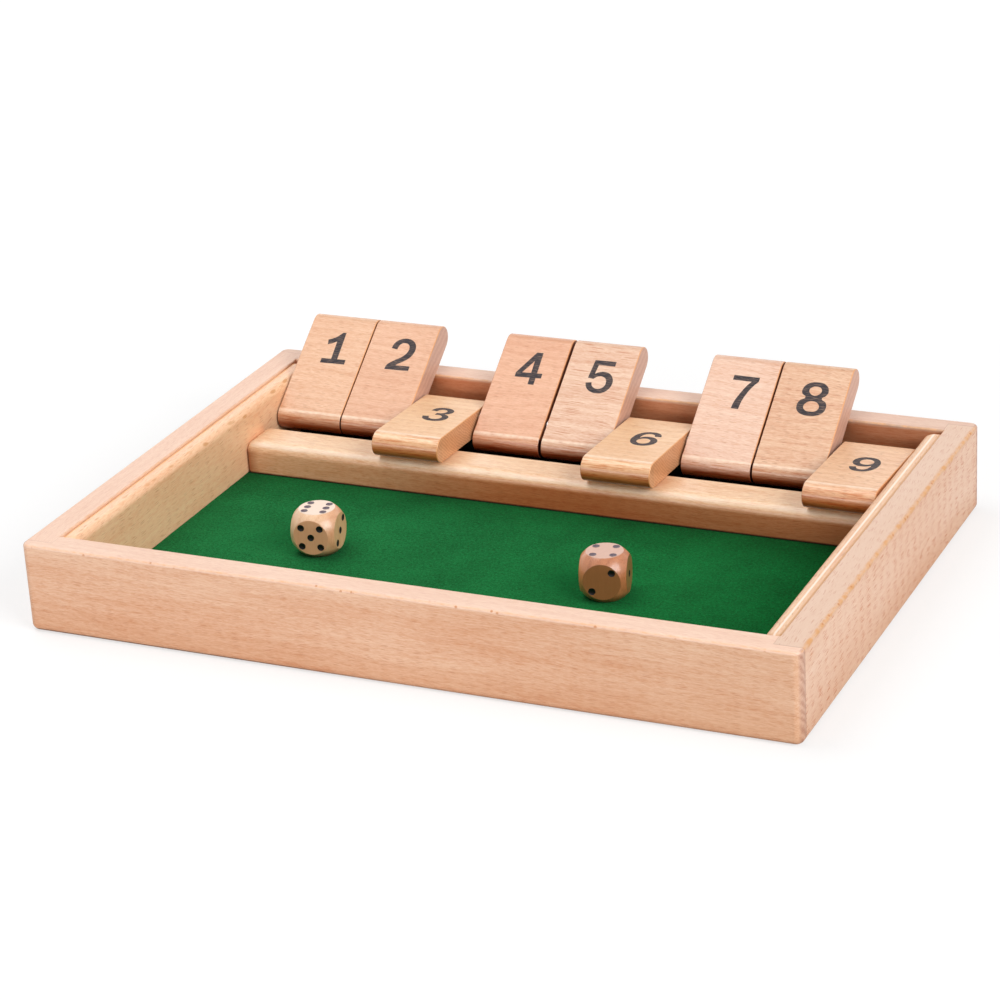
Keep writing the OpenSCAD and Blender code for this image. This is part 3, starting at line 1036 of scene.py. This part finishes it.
def fill_flush_edges(made, rail):
    """A side rail's inner edge stays full beside the end rails, as the joints are
    sanded flush."""
    rail_low, rail_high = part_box(rail)
    inner_x = rail_high.x if rail == "left_rail" else rail_low.x
    outward = math.copysign(1.0, inner_x)
    for end_y, inward in ((rail_low.y, 1.0), (rail_high.y, -1.0)):
        xs = sorted((inner_x + outward * HAIR, inner_x + outward * FLUSH_DEEP))
        ys = sorted((end_y + inward * HAIR, end_y + inward * FLUSH_LONG))
        fill = new_box("flush_edge", Vector((xs[0], ys[0], rail_high.z - FLUSH_DEEP)),
                       Vector((xs[1], ys[1], rail_high.z - HAIR)))
        combine(made, fill, "UNION")
        bpy.data.objects.remove(fill)


def round_rails():
    round_tray = loose_box("round_tray", tray_low, tray_high)
    ease(round_tray, upright_radius)
    ease(round_tray, rim_radius)
    for rail in ("front_rail", "back_rail", "left_rail", "right_rail"):
        made = cad_copy(rail)
        if rail in ("left_rail", "right_rail"):
            fill_flush_edges(made, rail)
        combine(made, round_tray, "INTERSECT")
        stand_for(made, rail)
    bpy.data.objects.remove(round_tray)


def round_strip(strip):
    """The upright edges and the top edges of a strip, apart from those at its rail."""
    low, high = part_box(strip)
    inner_x, outer_x = (high.x, low.x) if strip == "left_strip" else (low.x, high.x)

    def inner_upright(a, b):
        faces_in = abs(a.x - inner_x) < NUDGE
        return STRIP_CORNER_R if faces_in and is_upright(a, b) else 0.0

    def inner_rim(a, b):
        on_top = min(a.z, b.z) > high.z - NUDGE
        at_rail = max(abs(a.x - outer_x), abs(b.x - outer_x)) < NUDGE
        return STRIP_RIM_R if on_top and not at_rail else 0.0

    rounded = loose_box("round_strip", low, high)
    ease(rounded, inner_upright)
    ease(rounded, inner_rim)
    made = cad_copy(strip)
    combine(made, rounded, "INTERSECT")
    stand_for(made, strip)
    bpy.data.objects.remove(rounded)


def bar_radius(a, b):
    run = b - a
    middle = (a + b) / 2
    front = middle.y < bar_low.y + NUDGE
    if is_upright(a, b):
        return BAR_SIDE_R if front else 0.0
    if middle.z < bar_high.z - NUDGE:
        return 0.0
    if abs(run.y) > NUDGE:
        return BAR_END_R
    return BAR_FRONT_R if front else BAR_BACK_R


def round_bar():
    made = new_box("rest_bar_wood", bar_low, bar_high)
    ease(made, bar_radius)
    stand_for(made, "rest_bar")


round_rails()
round_strip("left_strip")
round_strip("right_strip")
round_bar()


# The felt: one cloth over the whole floor of the tray, and under the bar too.

FELT_W = felt_high.x - felt_low.x
FELT_L = felt_high.y - felt_low.y
FELT_T = felt_high.z - felt_low.z
FELT_CELL = 1.1 * MM
NAP_DEEP = 0.22 * MM
NAP_SIZE = 2.2 * MM


def felt_mesh():
    """A fine grid on top, closed below by one flat face."""
    bpy.ops.object.select_all(action="DESELECT")
    bpy.ops.mesh.primitive_grid_add(
        x_subdivisions=int(FELT_W / FELT_CELL), y_subdivisions=int(FELT_L / FELT_CELL), size=1.0)
    felt = bpy.context.object
    felt.name = "felt_cloth"
    middle = middle_of("felt")
    felt.data.transform(Matrix.Translation((middle.x, middle.y, felt_high.z))
                        @ Matrix.Diagonal((FELT_W, FELT_L, 1, 1)))
    bpy.ops.object.mode_set(mode="EDIT")
    bpy.ops.mesh.select_all(action="DESELECT")
    bpy.ops.mesh.select_mode(type="EDGE")
    bpy.ops.mesh.select_non_manifold()
    bpy.ops.mesh.extrude_edges_move(TRANSFORM_OT_translate={"value": (0, 0, -FELT_T)})
    bpy.ops.mesh.edge_face_add()
    bpy.ops.mesh.select_all(action="SELECT")
    bpy.ops.mesh.normals_make_consistent(inside=False)
    bpy.ops.object.mode_set(mode="OBJECT")
    return felt


def raise_nap(felt):
    """Small dips all over the top, never above it."""
    nap = bpy.data.textures.new("nap", "CLOUDS")
    nap.noise_scale = NAP_SIZE
    nap.noise_depth = 2
    top = felt.vertex_groups.new(name="top")
    top.add([v.index for v in felt.data.vertices if v.co.z > felt_high.z - FELT_T / 2],
            1.0, "REPLACE")
    shape(felt, "DISPLACE", texture=nap, texture_coords="LOCAL", direction="Z",
          vertex_group="top", strength=NAP_DEEP, mid_level=1.0)
    felt.vertex_groups.clear()
    bpy.ops.object.shade_smooth_by_angle(angle=math.radians(50))


def felt_green():
    """Tufts and loose hairs in two greens, with painted shade towards the back and the right, a
    painted shadow before the bar and painted shade behind it.
    """
    green = Finish("felt_green")
    x, y, _ = split(green.own)
    cloud = noise(green.own, 0.05, 3.0, 0.6)
    tufts = noise(green.own, 0.85, 4.0, 0.75, 0.4)
    hairs = noise(green.own, 1.7, 3.0, 0.75, 1.2)
    share = plus(remap(cloud, 0.3, 0.7, -0.15, 0.15), remap(tufts, 0.3, 0.7, 0.1, 0.6))
    share = calc("ADD", share, remap(hairs, 0.3, 0.7, -0.35, 0.5), clamp=True)
    green.tone = blend(share, paint("#0c5426"), paint("#248c4b"))
    bar_front, bar_back = bar_low.y / MM, bar_high.y / MM
    # Painted shadow before the bar's foot, and painted shade towards the back, to the right and
    # behind the bar.
    green.tint(remap(y, bar_front - 1.0, bar_front - 0.1), "#6c6c6c")
    green.tint(remap(y, 4.0, 34.0), "#88c4ae")
    green.tint(remap(x, -60.0, 110.0), "#78e8cf")
    green.tint(remap(y, bar_back - 0.9, bar_back + 1.6), "#909090")
    green.set(Roughness=0.95, Specular_IOR_Level=0.03, Sheen_Weight=0.02, Sheen_Roughness=0.6)
    green.bump(plus(hairs, tufts), 0.25 * MM, 0.8)
    return green.dress()


cloth = felt_mesh()
raise_nap(cloth)
finish_with(cloth, felt_green())
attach(cloth, "tray")
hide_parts("felt")


# The rod and its washers, turned from bright steel.

def bright_steel():
    steel = Finish("bright_steel")
    lines = noise(stretch(steel.own, (0.4, 30, 30)))
    steel.tone = blend(lines, paint("#cfd0d2"), paint("#e6e6e8"))
    steel.set(Roughness=remap(lines, 0.3, 0.7, 0.18, 0.32), Metallic=1.0)
    steel.bump(lines, 0.005 * MM, 0.4)
    steel.dress("tile_rod", *(f"spacer_{k}" for k in range(1, 11)))


bright_steel()


# The floor, the camera and the lights.

WHITE = (1, 1, 1, 1)
FLOOR_DROP = 0.05 * MM


def white_floor():
    """A matte floor. The camera sees it darker but with a glow added, so that it
    shows white and still holds the shadow. The glow grows away from the middle."""
    bpy.ops.object.select_all(action="DESELECT")
    bpy.ops.mesh.primitive_plane_add(size=8.0, location=(0, 0, -FLOOR_DROP))
    floor = bpy.context.object
    floor.name = "floor"
    white = bpy.data.materials.new("floor_white")
    white.use_nodes = True
    tree = white.node_tree
    tree.nodes.clear()
    place = add(tree, "ShaderNodeTexCoord").outputs["Object"]
    away = add(tree, "ShaderNodeVectorMath", {0: place}, operation="LENGTH").outputs["Value"]
    glow = plus(remap(away, 0.17, 0.5, 0.625, 0.73), remap(away, 0.8, 2.0, 0.0, 0.27))
    shine = add(tree, "ShaderNodeEmission", {"Color": WHITE, "Strength": glow})
    lit = add(tree, "ShaderNodeBsdfDiffuse", {"Color": paint("#a6a6a6")})
    shown = add(tree, "ShaderNodeAddShader", {0: lit.outputs[0], 1: shine.outputs[0]})
    matte = add(tree, "ShaderNodeBsdfDiffuse", {"Color": paint("#d8d8d8")})
    seen = add(tree, "ShaderNodeMixShader", {
        0: add(tree, "ShaderNodeLightPath").outputs["Is Camera Ray"],
        1: matte.outputs[0], 2: shown.outputs[0]})
    add(tree, "ShaderNodeOutputMaterial", {"Surface": seen.outputs[0]})
    finish_with(floor, white)


def photo_camera():
    """The camera as it was solved from the photo."""
    data = bpy.data.cameras.new("camera")
    data.sensor_width = 36
    data.lens = 114.568
    data.clip_start = 0.05
    data.clip_end = 50
    camera = placed("camera", data)
    camera.location = (0.424540, -0.911625, 0.456621)
    camera.rotation_euler = (1.164747, 0.054224, 0.417205)
    bpy.context.scene.camera = camera


def white_world():
    """White to look at and in reflections, and dimmer as a light."""
    world = bpy.data.worlds.new("studio")
    bpy.context.scene.world = world
    world.use_nodes = True
    tree = world.node_tree
    tree.nodes.clear()
    path = add(tree, "ShaderNodeLightPath").outputs
    direct = larger(larger(path["Is Camera Ray"], path["Is Transmission Ray"]),
                    path["Is Glossy Ray"])
    sky = add(tree, "ShaderNodeBackground", {
        "Color": WHITE, "Strength": remap(direct, 0.0, 1.0, 0.36, 1.0)})
    add(tree, "ShaderNodeOutputWorld", {"Surface": sky.outputs[0]})


def softbox(name, place, width, depth, watts, at=(0, 0, 0)):
    """A flat lamp at a place, aimed at a point."""
    data = bpy.data.lights.new(name, "AREA")
    data.shape = "RECTANGLE"
    data.size = width
    data.size_y = depth
    data.energy = watts
    made = placed(name, data)
    made.location = place
    aim = Vector(at) - Vector(place)
    made.rotation_euler = aim.to_track_quat("-Z", "Y").to_euler()


white_floor()
photo_camera()
white_world()
softbox("overhead_softbox", (-0.5, 0.0, 1.25), 0.8, 0.8, 6.5)
softbox("right_softbox", (1.63, -0.69, 1.12), 1.3, 1.0, 27.0)
softbox("back_softbox", (-1.3, 1.75, 0.9), 2.4, 1.0, 6.0)
softbox("front_softbox", (-0.6, -2.1, 0.28), 1.4, 0.45, 12.0, at=(0, 0, 0.02))
bpy.context.scene.view_settings.view_transform = "Standard"
